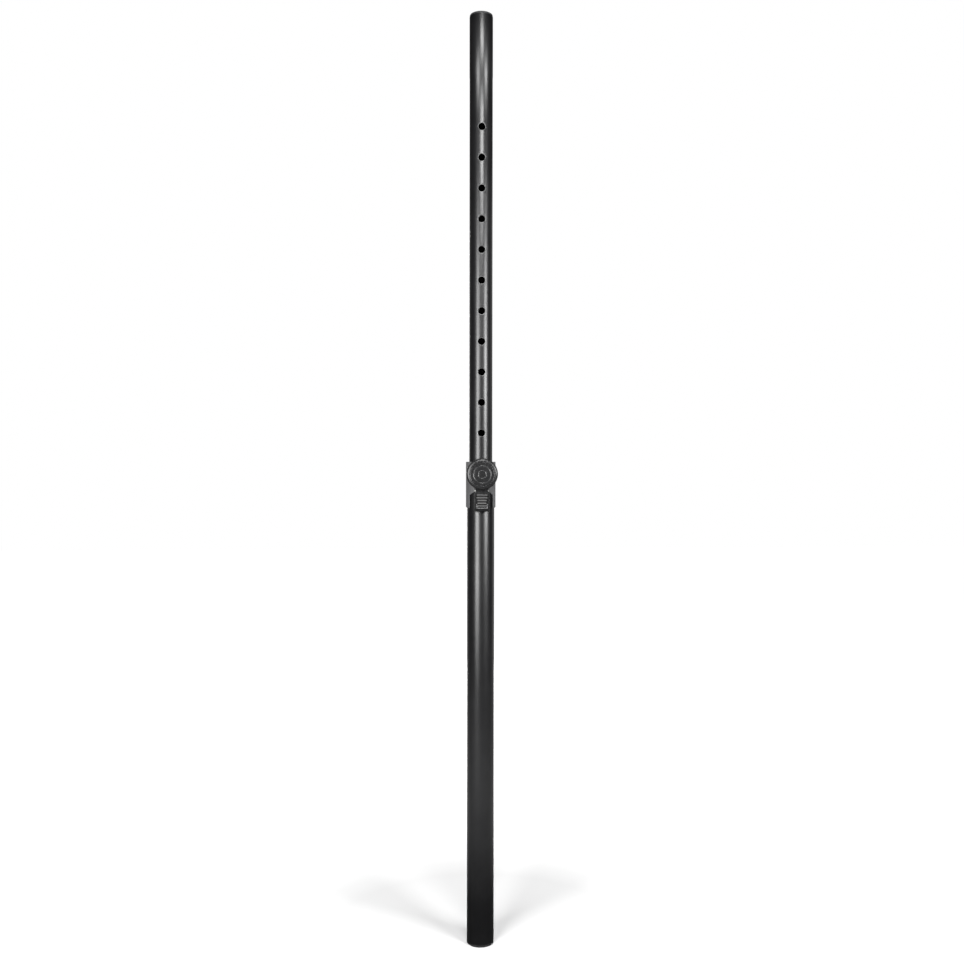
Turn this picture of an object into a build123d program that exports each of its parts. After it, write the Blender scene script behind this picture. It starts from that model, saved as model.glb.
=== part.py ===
"""Height-adjustable speaker pole: a perforated upper tube that slides in a wider lower tube, held by a
spring-loaded lock pin. A rocking lever on the collar lifts the pin when its ribbed pad is pressed.

Millimetres. The origin is at the lower end, on the pole's axis, with +Z up along the pole. The lock faces -Y.
"""

import os

from build123d import *

# Overall
pole_length = 1400.0  # lower end to the rim of the top end plug, fully extended

# Tubes
lower_tube_diameter = 40.8
lower_tube_wall = 1.9
upper_tube_diameter = 34.6
upper_tube_wall = 2.0
spigot_diameter = 35.0  # the top end keeps full size for a speaker's socket
spigot_length = 90.0
tube_overlap = 110.0  # upper tube inside the lower pole at full extension, below the collar's top

# Row of adjusting holes in the front wall of the upper tube
hole_diameter = 10.6
hole_count = 12
hole_pitch = 45.5
first_hole_gap = 61.3  # from the lowest hole to the next, wider than the pitch
hole_edge_break = 0.4

# Collar
collar_base = 661.6
collar_height = 69.6
collar_wall = 1.8
collar_lip = 2.5
collar_edge = 1.6
window_width = 34.4
window_height = 24.6  # from the collar's lower edge
window_corner_width = 6.1
window_corner_height = 4.7
pivot_rise = 26.4  # hinge pin above the collar's lower edge
lock_rise = 51.4  # lock pin above the collar's lower edge
boss_diameter = 17.0
boss_cap = 1.3
boss_swing_gap = 1.5  # from the boss to the back of the round head
boss_root = 1.0  # boss and lug reach this far into the collar's wall

# Hinge
hinge_pin_diameter = 3.0
hub_diameter = 6.8
pivot_standoff = 2.9  # pin axis in front of the collar's surface
lug_width = 14.0
lug_root = 1.5
lug_space_depth = 20.0  # room in the lever behind the hinge
lug_space_extra = 9.0
lug_space_rise = 2.0
clip_diameter = 5.2
clip_thickness = 0.6
clip_play = 0.15  # from the clip to the cheek
hinge_pin_inset = 0.3  # pin ends inside the lever's sides

# Lever
lever_width = 22.2
cheek_width = 1.8
neck_rise = 9.0  # top of the neck above the lower edge of the round head
neck_dip = 0.8  # saddle in front of the hinge, behind the pad's front
neck_top = 4.5  # the neck's slope ends this far above the hinge
saddle_low = 2.5
saddle_end = 4.0
heel = 5.0  # lower end of the hub's block, below the hinge
heel_top = 3.0
head_diameter = 46.7
head_standoff = 7.0  # back of the round head in front of the collar's surface
head_back_thickness = 4.2
head_floor_thickness = 1.2
head_recess_diameter = 24.0
head_plate_inset = 0.6  # head's plate inside the cap's rim
head_plate_edge = 1.0
cap_thickness = 4.2
cap_skin = 1.1
cap_edge = 2.6
cap_ring_count = 4
cap_ring_diameter = 38.8  # outermost ring
cap_ring_pitch = 3.3
cap_ring_width = 0.8
cap_ring_depth = 0.5
cap_room = 1.5  # hollow under the cap beyond the cross pin's ends
pad_length = 31.2  # below the hinge pin
pad_front = 9.1  # in front of the collar's surface
pad_thickness = 5.2
pad_nose = 4.8  # height of the sloping lower end
pad_nose_depth = 3.2
grip_length = 18.7
grip_base = 1.2
grip_pocket_depth = 2.2
grip_width = 16.8
grip_step = 1.3  # the lower half is narrower by this much each side
grip_step_at = 1.5  # in rib pitches below the grip's top
grip_step_height = 2.0
grip_drop = 4.5  # grip's top below the hinge
grip_slot = 1.6  # open slot left below the grip
rib_count = 5
rib_pitch = 4.07
rib_height = 1.5
rib_thickness = 2.1
rib_edge = 0.4
rib_first = 1.2  # middle of the top rib below the grip's top
rib_inset = 0.2
wide_ribs = 2

# Lock pin
lock_pin_diameter = 9.6
lock_pin_chamfer = 1.2
lock_pin_guide = 0.8  # reach of the pin's body into the collar's wall, as drawn
stem_diameter = 4.6
lock_pin_lift = 0.5  # pin tip in front of the sliding tube as drawn
cross_pin_diameter = 1.8
cross_pin_length = 10.0
cross_pin_play = 0.35
stem_slot_play = 0.4
stem_slot_rock = 1.7  # extra slot above and below the stem for the rocking lever
stem_end = 0.5  # stem beyond the cross pin
stem_bush_wall = 0.9
stem_bush_flange = 1.0

# Lock spring
spring_wire = 0.6
spring_diameter = 7.6
spring_turns = 3.5
spring_end_gap = 0.1

# Guide bush, glide, end pieces
bush_top_gap = 0.3
bush_tube_length = 56.0  # thin sleeve inside the lower tube
tube_end_gap = 4.7  # lower tube's top below the lock pin
glide_lip = 4.0
glide_edge = 0.8
stop_gap = 0.5
socket_depth = 80.0
socket_diameter = 35.5
liner_floor = 3.0
liner_flange = 3.0
liner_edge = 1.2
liner_mouth = 0.4
top_plug_flange = 3.0
top_plug_dome = 1.5
top_plug_depth = 22.0
top_plug_step = 0.3
top_plug_wall = 2.45
dome_low = 0.7  # dome's two radii, as shares of the flange's
dome_high = 0.4

# Fasteners
rivet_diameter = 4.0
rivet_head_diameter = 8.0
rivet_head_height = 1.5
rivet_head_round = 0.8  # share of the head's height
rivet_seat = 0.5
rivet_tail_gap = 0.1
rivet_heights = (12.0, 32.0)  # above the collar's lower edge, at the back
glide_rivet_diameter = 3.2
glide_rivet_tail = 1.5
glide_rivet_inset = 0.3
glide_rivet_head = 1.4
glide_rivet_flare = 0.9  # head's radius as a share of the shank's diameter
cap_screw_diameter = 2.4
cap_screw_head = 4.8
cap_screw_head_height = 1.7
cap_screw_seat_depth = 2.2
cap_screw_sink = 0.4
cap_screw_bite = 1.8  # into the cap
cap_screw_room = 2.0
cap_screw_spread = 33.0

# Clearances, on the radius
slide_fit = 0.05
running_fit = 0.05
seat_fit = 0.05
press_gap = 0.02
swing_gap = 0.4
lug_side_gap = 0.3
clip_notch_gap = 0.4
screw_shank_gap = 0.1
screw_head_gap = 0.2
grip_fit = 0.1

beyond = 1.0  # cutting shapes run this far past the faces they cut

# Worked out from the sizes above
lower_radius = lower_tube_diameter / 2
lower_bore = lower_radius - lower_tube_wall
upper_radius = upper_tube_diameter / 2
upper_bore = upper_radius - upper_tube_wall
spigot_radius = spigot_diameter / 2
collar_bore = lower_radius + 2 * seat_fit
collar_radius = collar_bore + collar_wall
collar_top = collar_base + collar_height
upper_tube_bottom = collar_top - tube_overlap
upper_tube_top = pole_length - top_plug_flange
bush_bore = upper_radius + slide_fit
sleeve_radius = lower_bore - slide_fit
pivot_z = collar_base + pivot_rise
pivot_out = collar_radius + pivot_standoff
lock_z = collar_base + lock_rise
lower_tube_top = lock_z - lock_pin_diameter / 2 - tube_end_gap
bush_bottom = lower_tube_top - bush_tube_length
head_back = collar_radius + head_standoff
head_joint = head_back + head_back_thickness
head_face = head_joint + cap_thickness
head_floor = head_joint - head_floor_thickness
pin_tip = upper_radius + lock_pin_lift
pin_shoulder = lower_radius + lock_pin_guide
boss_end = head_back - boss_swing_gap
cross_pin_out = head_joint + cross_pin_diameter / 2 + cross_pin_play
pin_bore = lock_pin_diameter / 2 + running_fit
stem_bore = stem_diameter / 2 + running_fit
slot_half = lug_width / 2 + lug_side_gap
cheek_outer = slot_half + cheek_width
from_base = (Align.CENTER, Align.CENTER, Align.MIN)  # a shape that stands on its own base


def upright(radius, low, high):
    """A cylinder on the pole's axis between two heights."""
    return Pos(0, 0, low) * Cylinder(radius, high - low, align=from_base)


def tube(outer, inner, low, high):
    """A round sleeve on the pole's axis."""
    return upright(outer, low, high) - upright(inner, low - beyond, high + beyond)


def facing(height):
    """A frame at this height whose +Z points out of the lock's front and whose +Y points up."""
    return Pos(0, 0, height) * Rot(90, 0, 0)


def forward(radius, near, far, height, x=0.0):
    """A cylinder that points out of the front, between two distances from the pole's axis."""
    rod = Cylinder(radius, far - near, align=from_base)
    return facing(height) * Pos(x, 0, near) * rod


def backward(radius, near, far, height):
    """The same, out of the back."""
    return Rot(0, 0, 180) * forward(radius, near, far, height)


def crosswise(radius, half_length, out, height):
    """A cylinder along X, at a distance in front of the pole's axis."""
    return Pos(0, -out, height) * Rot(0, 90, 0) * Cylinder(radius, 2 * half_length)


def side_profile(points, half_width):
    """A plate across X, from a side outline of (distance in front of the axis, height) points."""
    outline = Polygon(*[(-out, height) for out, height in points], align=None)
    return extrude(Plane.YZ * outline, amount=half_width, both=True)


def front_profile(points, near, far):
    """A plate facing the front, from an outline of (x, height) points."""
    outline = Polygon(*points, align=None)
    return extrude(facing(0) * Pos(0, 0, near) * outline, amount=far - near)


def round_rim(solid, axis, last, radius):
    """Rounds the largest circular edge at one end of a solid."""
    ends = solid.edges().filter_by(GeomType.CIRCLE).group_by(axis)
    rim = ends[-1 if last else 0].sort_by(SortBy.RADIUS)[-1]
    return fillet(rim, radius)


def break_rim(solid, axis, last, size):
    """Chamfers the largest circular edge at one end of a solid."""
    ends = solid.edges().filter_by(GeomType.CIRCLE).group_by(axis)
    rim = ends[-1 if last else 0].sort_by(SortBy.RADIUS)[-1]
    return chamfer(rim, size)


def hole_heights():
    """Heights of the adjusting holes, the lowest one at the lock pin."""
    return [lock_z] + [lock_z + first_hole_gap + i * hole_pitch for i in range(hole_count - 1)]


def lower_tube():
    body = tube(lower_radius, lower_bore, liner_flange, lower_tube_top)
    bore = rivet_diameter / 2 + press_gap
    for rise in rivet_heights:
        body -= backward(bore, lower_bore - beyond, lower_radius + beyond, collar_base + rise)
    return body


def socket_liner():
    top = socket_depth + liner_floor
    flange = round_rim(upright(lower_radius, 0, liner_flange), Axis.Z, False, liner_edge)
    body = flange + upright(sleeve_radius, liner_flange, top)
    body -= upright(socket_diameter / 2, -beyond, socket_depth)
    mouth = body.edges().filter_by(GeomType.CIRCLE).group_by(Axis.Z)[0].sort_by(SortBy.RADIUS)[0]
    return chamfer(mouth, liner_mouth)


def hinge_lug():
    """The block on the collar that carries the hinge pin between the lever's cheeks."""
    wall = collar_radius - lug_root
    top = pivot_z + hub_diameter / 2
    web = [
        (wall, pivot_z - hub_diameter / 2),
        (pivot_out, pivot_z - hub_diameter / 2),
        (pivot_out, top),
        (wall, top + pivot_standoff),
    ]
    return side_profile(web, lug_width / 2) + crosswise(hub_diameter / 2, lug_width / 2, pivot_out, pivot_z)


def window_outline():
    half = window_width / 2
    top = collar_base + window_height
    shoulder = top - window_corner_height
    return [
        (-half, collar_base - beyond),
        (half, collar_base - beyond),
        (half, shoulder),
        (half - window_corner_width, top),
        (window_corner_width - half, top),
        (-half, shoulder),
    ]


def collar():
    shell = upright(collar_radius, collar_base, collar_top)
    shell = break_rim(shell, Axis.Z, False, collar_edge)
    shell = round_rim(shell, Axis.Z, True, collar_edge / 2)
    boss = forward(boss_diameter / 2, lower_radius - boss_root, boss_end, lock_z)
    shell += round_rim(boss, Axis.Y, False, collar_edge / 2)
    mouth = collar_top - collar_lip
    shell -= upright(collar_bore, collar_base - beyond, mouth)
    shell -= upright(spigot_radius + swing_gap, mouth - beyond, collar_top + beyond)
    shell -= front_profile(window_outline(), lower_radius / 2, collar_radius + beyond)
    shell += hinge_lug()
    shell -= forward(pin_bore, lower_bore, boss_end - boss_cap, lock_z)
    shell -= forward(stem_bore + stem_bush_wall, lower_radius, boss_end + beyond, lock_z)
    shell -= crosswise(hinge_pin_diameter / 2 + press_gap, lug_width, pivot_out, pivot_z)
    for rise in rivet_heights:
        height = collar_base + rise
        seat = collar_radius - rivet_seat
        far = collar_radius + beyond
        shell -= backward(rivet_diameter / 2 + press_gap, lower_bore, far, height)
        shell -= backward(rivet_head_diameter / 2 + seat_fit, seat, far, height)
    return shell


def guide_bush():
    seat_top = collar_top - collar_lip - bush_top_gap
    body = upright(lower_radius, lower_tube_top, seat_top)
    body += upright(sleeve_radius, bush_bottom, lower_tube_top)
    body -= upright(bush_bore, bush_bottom - beyond, seat_top + beyond)
    return body - forward(pin_bore, upper_bore, lower_radius + beyond, lock_z)


def stem_bush():
    """Headed sleeve in the boss that guides the pin's stem and closes the spring's chamber."""
    outer = stem_bore + stem_bush_wall
    seat = boss_end - boss_cap
    near = seat - stem_bush_flange
    body = forward(outer - press_gap, near, boss_end, lock_z)
    body += forward(pin_bore - press_gap, near, seat, lock_z)
    return body - forward(stem_bore, near - beyond, boss_end + beyond, lock_z)


def hinge_pin():
    return crosswise(hinge_pin_diameter / 2, lever_width / 2 - hinge_pin_inset, pivot_out, pivot_z)


def hinge_clips():
    middle = cheek_outer + clip_thickness / 2 + clip_play
    ring = crosswise(clip_diameter / 2, clip_thickness / 2, pivot_out, pivot_z)
    ring -= crosswise(hinge_pin_diameter / 2 + press_gap, clip_thickness, pivot_out, pivot_z)
    return Compound(children=[Pos(-middle, 0, 0) * ring, Pos(middle, 0, 0) * ring])


def rivet(height):
    seat = collar_radius - rivet_seat
    shank = backward(rivet_diameter / 2, lower_bore + rivet_tail_gap, collar_radius, height)
    head = backward(rivet_head_diameter / 2, seat, collar_radius + rivet_head_height, height)
    return shank + round_rim(head, Axis.Y, True, rivet_head_height * rivet_head_round)


def collar_rivets():
    return Compound(children=[rivet(collar_base + rise) for rise in rivet_heights])


def upper_tube():
    body = upright(upper_radius, upper_tube_bottom, upper_tube_top - spigot_length)
    body += upright(spigot_radius, upper_tube_top - spigot_length, upper_tube_top)
    body -= upright(upper_bore, upper_tube_bottom - beyond, upper_tube_top + beyond)
    hole = hole_diameter / 2
    depth = hole_edge_break + beyond
    sink = Pos(0, 0, upper_radius - hole_edge_break) * Cone(hole, hole + depth, depth, align=from_base)
    for height in hole_heights():
        body -= forward(hole, upper_bore / 2, upper_radius + beyond, height)
        body -= facing(height) * sink
    for side in (-1, 1):
        body -= glide_rivet_bore(side, upper_bore - beyond)
    return body


def top_end_plug():
    rim = spigot_radius - top_plug_step
    flange = upright(rim, upper_tube_top, pole_length)
    flange = round_rim(flange, Axis.Z, True, top_plug_flange / 2)
    dome = Cone(rim * dome_low, rim * dome_high, top_plug_dome, align=from_base)
    stem = upper_bore - seat_fit
    skirt = tube(stem, stem - top_plug_wall, upper_tube_top - top_plug_depth, upper_tube_top)
    return flange + Pos(0, 0, pole_length) * dome + skirt


def glide_height():
    return upper_tube_bottom + (bush_bottom - stop_gap - upper_tube_bottom) / 2


def glide_rivet_bore(side, near):
    bore = glide_rivet_diameter / 2 + press_gap
    rod = Cylinder(bore, sleeve_radius + beyond - near, align=from_base)
    return Pos(0, 0, glide_height()) * Rot(0, side * 90, 0) * Pos(0, 0, near) * rod


def tube_glide():
    body = upright(sleeve_radius, upper_tube_bottom - glide_lip, bush_bottom - stop_gap)
    body -= upright(upper_radius + press_gap, upper_tube_bottom, bush_bottom)
    body -= upright(upper_bore, upper_tube_bottom - glide_lip - beyond, upper_tube_bottom + beyond)
    for side in (-1, 1):
        body -= glide_rivet_bore(side, upper_radius - beyond)
    return break_rim(body, Axis.Z, False, glide_edge)


def glide_rivets():
    near = upper_bore - glide_rivet_tail
    far = sleeve_radius - glide_rivet_inset
    rod = Cylinder(glide_rivet_diameter / 2, far - near, align=from_base)
    head = Cylinder(glide_rivet_diameter * glide_rivet_flare, glide_rivet_head, align=from_base)
    one = Pos(0, 0, near) * rod + Pos(0, 0, near - glide_rivet_head) * head
    sides = [Pos(0, 0, glide_height()) * Rot(0, side * 90, 0) * one for side in (-1, 1)]
    return Compound(children=sides)


def lever_outline():
    front = collar_radius + pad_front
    back = front - pad_thickness
    low = pivot_z - pad_length
    hub = hub_diameter / 2
    neck = lock_z - head_diameter / 2 + neck_rise
    return [
        (head_back, neck),
        (head_joint - head_plate_inset, neck),
        (front - neck_dip / 2, pivot_z + neck_top),
        (front - neck_dip, pivot_z - saddle_low),
        (front, pivot_z - saddle_end),
        (front, low + pad_nose),
        (front - pad_nose_depth, low),
        (back, low),
        (back, pivot_z - heel),
        (pivot_out, pivot_z - hub),
        (pivot_out, pivot_z + hub),
        (head_back, pivot_z + hub + heel_top),
    ]


def grip_floor():
    return collar_radius + pad_front - grip_pocket_depth


def grip_top():
    return pivot_z - grip_drop


def step_height():
    return grip_top() - grip_step_at * rib_pitch


def stepped_outline(half, low, top, step):
    """Front outline of the grip: two widths, joined by a slope below the step."""
    narrow = half - grip_step
    slope = step - grip_step_height
    return [
        (-narrow, low),
        (narrow, low),
        (narrow, slope),
        (half, step),
        (half, top),
        (-half, top),
        (-half, step),
        (-narrow, slope),
    ]


def pad_pocket():
    """Pocket for the ribbed grip, narrower in its lower half."""
    low = grip_top() - grip_length - grip_slot
    outline = stepped_outline(grip_width / 2 + grip_fit, low, grip_top() + grip_fit, step_height())
    return front_profile(outline, grip_floor(), head_face)


def lever_swing_space():
    """Room for the hinge lug, at the hub and behind it, over the lever's whole swing."""
    reach = hub_diameter / 2 + swing_gap
    swept = crosswise(reach, slot_half, pivot_out, pivot_z)
    behind = Box(2 * slot_half, lug_space_depth, 2 * reach + lug_space_extra)
    place = Pos(0, lug_space_depth / 2 - pivot_out, pivot_z + lug_space_rise)
    return swept + place * behind


def stem_slot():
    width = stem_diameter + 2 * stem_slot_play
    slot = Box(width, stem_diameter + 2 * stem_slot_rock, 2 * (head_joint - head_back))
    return facing(lock_z) * Pos(0, 0, head_joint) * slot


def lock_lever():
    half = lever_width / 2
    bar = side_profile(lever_outline(), half)
    bar += crosswise(hub_diameter / 2, half, pivot_out, pivot_z)
    plate = forward(head_diameter / 2 - head_plate_inset, head_back, head_joint, lock_z)
    plate = break_rim(plate, Axis.Y, True, head_plate_edge)
    body = bar + plate
    body -= forward(head_recess_diameter / 2, head_back - beyond, head_floor, lock_z)
    body -= stem_slot()
    body -= lever_swing_space()
    body -= crosswise(hinge_pin_diameter / 2 + running_fit, half + beyond, pivot_out, pivot_z)
    near = head_back - beyond
    shank = cap_screw_diameter / 2 + screw_shank_gap
    screw_head = cap_screw_head / 2 + screw_head_gap
    notch = Box(half, 2 * pivot_out, clip_diameter + 2 * clip_notch_gap)
    for side in (-1, 1):
        body -= Pos(side * (cheek_outer + half / 2), -pivot_out, pivot_z) * notch
        seat = side * cap_screw_spread / 2
        body -= forward(shank, near, head_joint + beyond, lock_z, seat)
        body -= forward(screw_head, near, head_back + cap_screw_seat_depth, lock_z, seat)
    return body - pad_pocket()


def head_cap():
    """Round cover with a rolled rim and plain concentric rings."""
    disc = Cylinder(head_diameter / 2, cap_thickness, align=from_base)
    disc = round_rim(disc, Axis.Z, True, cap_edge)
    for i in range(cap_ring_count):
        outer = cap_ring_diameter / 2 - i * cap_ring_pitch
        groove = tube(outer, outer - cap_ring_width, cap_thickness - cap_ring_depth, cap_thickness + beyond)
        disc -= groove
    disc -= Cylinder(cross_pin_length / 2 + cap_room, cap_thickness - cap_skin, align=from_base)
    body = facing(lock_z) * Pos(0, 0, head_joint) * disc
    for side in (-1, 1):
        seat = side * cap_screw_spread / 2
        shank = cap_screw_diameter / 2 + press_gap
        body -= forward(shank, head_joint - beyond, head_joint + cap_screw_room, lock_z, seat)
    return body


def rib_section(floor, height):
    crest = floor + grip_base + rib_height
    half = rib_thickness / 2
    return [
        (floor, height + half),
        (crest - rib_edge, height + half),
        (crest, height + half - rib_edge),
        (crest, height - half + rib_edge),
        (crest - rib_edge, height - half),
        (floor, height - half),
    ]


def grip_pad():
    """Soft insert with raised cross ribs, narrower in its lower half."""
    half = grip_width / 2
    top = grip_top()
    floor = grip_floor()
    outline = stepped_outline(half, top - grip_length, top, step_height() - grip_fit)
    body = front_profile(outline, floor, floor + grip_base)
    for i in range(rib_count):
        reach = half if i < wide_ribs else half - grip_step
        section = rib_section(floor, top - rib_first - i * rib_pitch)
        body += side_profile(section, reach - rib_inset)
    return body


def cap_screw(x):
    near = head_back + cap_screw_sink
    shank = forward(cap_screw_diameter / 2, near, head_joint + cap_screw_bite, lock_z, x)
    head = forward(cap_screw_head / 2, near, near + cap_screw_head_height, lock_z, x)
    return shank + head


def cap_screws():
    return Compound(children=[cap_screw(side * cap_screw_spread / 2) for side in (-1, 1)])


def lock_pin():
    body = forward(lock_pin_diameter / 2, pin_tip, pin_shoulder, lock_z)
    body = break_rim(body, Axis.Y, True, lock_pin_chamfer)
    tail = cross_pin_out + cross_pin_diameter / 2 + stem_end
    body += forward(stem_diameter / 2, pin_shoulder, tail, lock_z)
    return body - crosswise(cross_pin_diameter / 2 + press_gap, stem_diameter, cross_pin_out, lock_z)


def cross_pin():
    return crosswise(cross_pin_diameter / 2, cross_pin_length / 2, cross_pin_out, lock_z)


def lock_spring():
    inset = spring_wire / 2 + spring_end_gap
    near = pin_shoulder + inset
    length = boss_end - boss_cap - stem_bush_flange - inset - near
    path = Helix(length / spring_turns, length, (spring_diameter - spring_wire) / 2)
    wire = sweep(Plane(path @ 0, z_dir=path % 0) * Circle(spring_wire / 2), path=path)
    return facing(lock_z) * Pos(0, 0, near) * wire


nodes = {
    "lower_tube": lower_tube,
    "socket_liner": socket_liner,
    "collar": collar,
    "guide_bush": guide_bush,
    "stem_bush": stem_bush,
    "hinge_pin": hinge_pin,
    "hinge_clips": hinge_clips,
    "collar_rivets": collar_rivets,
    "lock_spring": lock_spring,
    "upper_tube": upper_tube,
    "top_end_plug": top_end_plug,
    "tube_glide": tube_glide,
    "glide_rivets": glide_rivets,
    "lock_lever": lock_lever,
    "head_cap": head_cap,
    "grip_pad": grip_pad,
    "cap_screws": cap_screws,
    "lock_pin": lock_pin,
    "cross_pin": cross_pin,
}

os.makedirs("parts", exist_ok=True)
for name, make in nodes.items():
    export_step(make(), f"parts/{name}.step")
    print("wrote", name)
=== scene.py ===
# Speaker pole: two black tubes, a row of adjusting holes, and a collar with a rocking lever
# that lifts the lock pin.
from math import atan2, cos, pi, radians, sin, sqrt, tau

import bmesh
import bpy
from mathutils import Matrix, Vector


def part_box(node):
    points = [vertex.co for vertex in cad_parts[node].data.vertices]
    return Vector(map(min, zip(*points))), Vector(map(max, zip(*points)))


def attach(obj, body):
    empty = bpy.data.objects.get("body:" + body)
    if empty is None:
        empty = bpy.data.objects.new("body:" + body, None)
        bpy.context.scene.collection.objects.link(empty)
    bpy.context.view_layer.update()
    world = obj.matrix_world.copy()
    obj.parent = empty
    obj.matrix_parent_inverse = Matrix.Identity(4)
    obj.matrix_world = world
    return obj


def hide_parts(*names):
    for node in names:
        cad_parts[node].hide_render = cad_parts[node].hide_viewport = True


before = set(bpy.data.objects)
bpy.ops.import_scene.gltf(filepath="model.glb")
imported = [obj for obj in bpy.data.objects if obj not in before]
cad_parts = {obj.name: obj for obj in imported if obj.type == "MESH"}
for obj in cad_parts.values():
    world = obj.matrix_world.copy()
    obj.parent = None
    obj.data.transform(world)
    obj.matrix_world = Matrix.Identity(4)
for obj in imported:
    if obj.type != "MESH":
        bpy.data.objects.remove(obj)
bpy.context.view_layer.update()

mm = 0.001
weldGap = 1e-6  # metres; points closer than this are one
beyond = 1.0  # how far a cutting shape reaches past the face it cuts
scene = bpy.context.scene
facing = Matrix.Rotation(radians(90), 4, "X")  # turns a shape made along +Z to point out of the front


def boxMm(node):
    low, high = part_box(node)
    return low / mm, high / mm


tubeLow, tubeHigh = boxMm("lower_tube")
slideLow, slideHigh = boxMm("upper_tube")
collarLow, collarHigh = boxMm("collar")
pinLow, pinHigh = boxMm("lock_pin")
hingeLow, hingeHigh = boxMm("hinge_pin")
headLow, headHigh = boxMm("head_cap")
lockZ = (pinLow.z + pinHigh.z) / 2
hingeZ = (hingeLow.z + hingeHigh.z) / 2
hingeOut = -(hingeLow.y + hingeHigh.y) / 2
lowerRadius = tubeHigh.x
spigotRadius = slideHigh.x
collarRadius = collarHigh.x


def lathe(points, steps=96, softSteps=4):
    # spins an outline of (radius, height, rounding) corners about +Z; one that starts on the axis stays open
    bm = bmesh.new()
    verts = [bm.verts.new((corner[0] * mm, 0, corner[1] * mm)) for corner in points]
    for i in range(len(verts) - 1):
        bm.edges.new((verts[i], verts[i + 1]))
    if points[0][0] > 0:
        bm.edges.new((verts[-1], verts[0]))
    for vert, corner in zip(verts, points):
        if len(corner) > 2:
            bmesh.ops.bevel(bm, geom=[vert], offset=corner[2] * mm, offset_type="OFFSET", affect="VERTICES",
                            segments=softSteps, profile=0.5, material=-1, clamp_overlap=True)
    geom = bm.verts[:] + bm.edges[:]
    bmesh.ops.spin(bm, geom=geom, cent=(0, 0, 0), axis=(0, 0, 1), angle=tau, steps=steps, use_merge=True)
    return cleaned(bm)


def cleaned(bm):
    bmesh.ops.remove_doubles(bm, verts=bm.verts, dist=weldGap)
    bmesh.ops.recalc_face_normals(bm, faces=bm.faces)
    return bm


def moved(bm, matrix):
    bmesh.ops.transform(bm, matrix=matrix, verts=bm.verts)
    return bm


def toFront(bm, height=0.0, across=0.0):
    # a shape made along +Z now points out of the front, at a height and a distance across
    return moved(bm, Matrix.Translation((across * mm, 0, height * mm)) @ facing)


def toBack(bm, height):
    return moved(toFront(bm, height), Matrix.Rotation(pi, 4, "Z"))


def prism(points, low, high):
    # an outline of (x, y) points raised from low to high along +Z
    bm = bmesh.new()
    face = bm.faces.new([bm.verts.new((x * mm, y * mm, low * mm)) for x, y in points])
    raised = bmesh.ops.extrude_face_region(bm, geom=[face])
    top = [v for v in raised["geom"] if isinstance(v, bmesh.types.BMVert)]
    bmesh.ops.translate(bm, vec=(0, 0, (high - low) * mm), verts=top)
    return cleaned(bm)


def block(width, depth, height, centre=(0, 0, 0)):
    bm = bmesh.new()
    size = Matrix.Diagonal((width * mm, depth * mm, height * mm, 1))
    bmesh.ops.create_cube(bm, size=1, matrix=Matrix.Translation(Vector(centre) * mm) @ size)
    return bm


def rod(radius, low, high, steps=48):
    return lathe([(0, low), (radius, low), (radius, high), (0, high)], steps=steps)


def softened(bm, width, steps=2, angle=35, where=None):
    # rounds the edges that turn by more than the angle; where() is given the middle of an edge
    edges = [e for e in bm.edges if len(e.link_faces) == 2 and e.calc_face_angle() > radians(angle)]
    if where:
        edges = [e for e in edges if where((e.verts[0].co + e.verts[1].co) / (2 * mm))]
    bmesh.ops.bevel(bm, geom=edges, offset=width * mm, offset_type="OFFSET", affect="EDGES",
                    segments=steps, profile=0.5, material=-1, clamp_overlap=True)
    return cleaned(bm)


def meshObject(bm, name):
    mesh = bpy.data.meshes.new(name)
    bm.to_mesh(mesh)
    bm.free()
    thing = bpy.data.objects.new(name, mesh)
    scene.collection.objects.link(thing)
    return thing


def combined(bm, tool, operation):
    # boolean of two shapes, both used up
    base = meshObject(bm, "base")
    other = meshObject(tool, "tool")
    change = base.modifiers.new("change", "BOOLEAN")
    change.object = other
    change.operation = operation
    change.solver = "EXACT"
    result = bmesh.new()
    result.from_object(base, bpy.context.evaluated_depsgraph_get())
    for thing in (base, other):
        bpy.data.meshes.remove(thing.data)
    return cleaned(result)


def cut(bm, tool):
    return combined(bm, tool, "DIFFERENCE")


def joined(bm, tool):
    return combined(bm, tool, "UNION")


def gathered(parts):
    # several separate shapes in one bmesh
    whole = bmesh.new()
    for part in parts:
        mesh = bpy.data.meshes.new("part")
        part.to_mesh(mesh)
        part.free()
        whole.from_mesh(mesh)
        bpy.data.meshes.remove(mesh)
    return whole


def finished(bm, name, material, body, replaced, sharp=32, weighted=False):
    bmesh.ops.recalc_face_normals(bm, faces=bm.faces)
    for face in bm.faces:
        face.smooth = True
    piece = meshObject(bm, name)
    piece.data.set_sharp_from_angle(angle=radians(sharp))
    piece.data.materials.append(material)
    if weighted:
        normals = piece.modifiers.new("normals", "WEIGHTED_NORMAL")
        normals.keep_sharp = True
    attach(piece, body)
    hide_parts(replaced)
    return piece


def newFinish(name, slot):
    material = bpy.data.materials.new(name)
    material.use_nodes = True
    material["slot"] = slot
    return material, material.node_tree.nodes, material.node_tree.links


def noiseOn(material, scale, detail=4.0, stretch=(1, 1, 1), roughness=0.55):
    # noise on object coordinates, in waves a metre
    nodes, links = material.node_tree.nodes, material.node_tree.links
    coords = nodes.get("objectCoords")
    if coords is None:
        coords = nodes.new("ShaderNodeTexCoord")
        coords.name = "objectCoords"
    mapping = nodes.new("ShaderNodeMapping")
    mapping.inputs["Scale"].default_value = stretch
    noise = nodes.new("ShaderNodeTexNoise")
    noise.inputs["Scale"].default_value = scale
    noise.inputs["Detail"].default_value = detail
    noise.inputs["Roughness"].default_value = roughness
    links.new(coords.outputs["Object"], mapping.inputs["Vector"])
    links.new(mapping.outputs["Vector"], noise.inputs["Vector"])
    return noise.outputs["Fac"]


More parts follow.
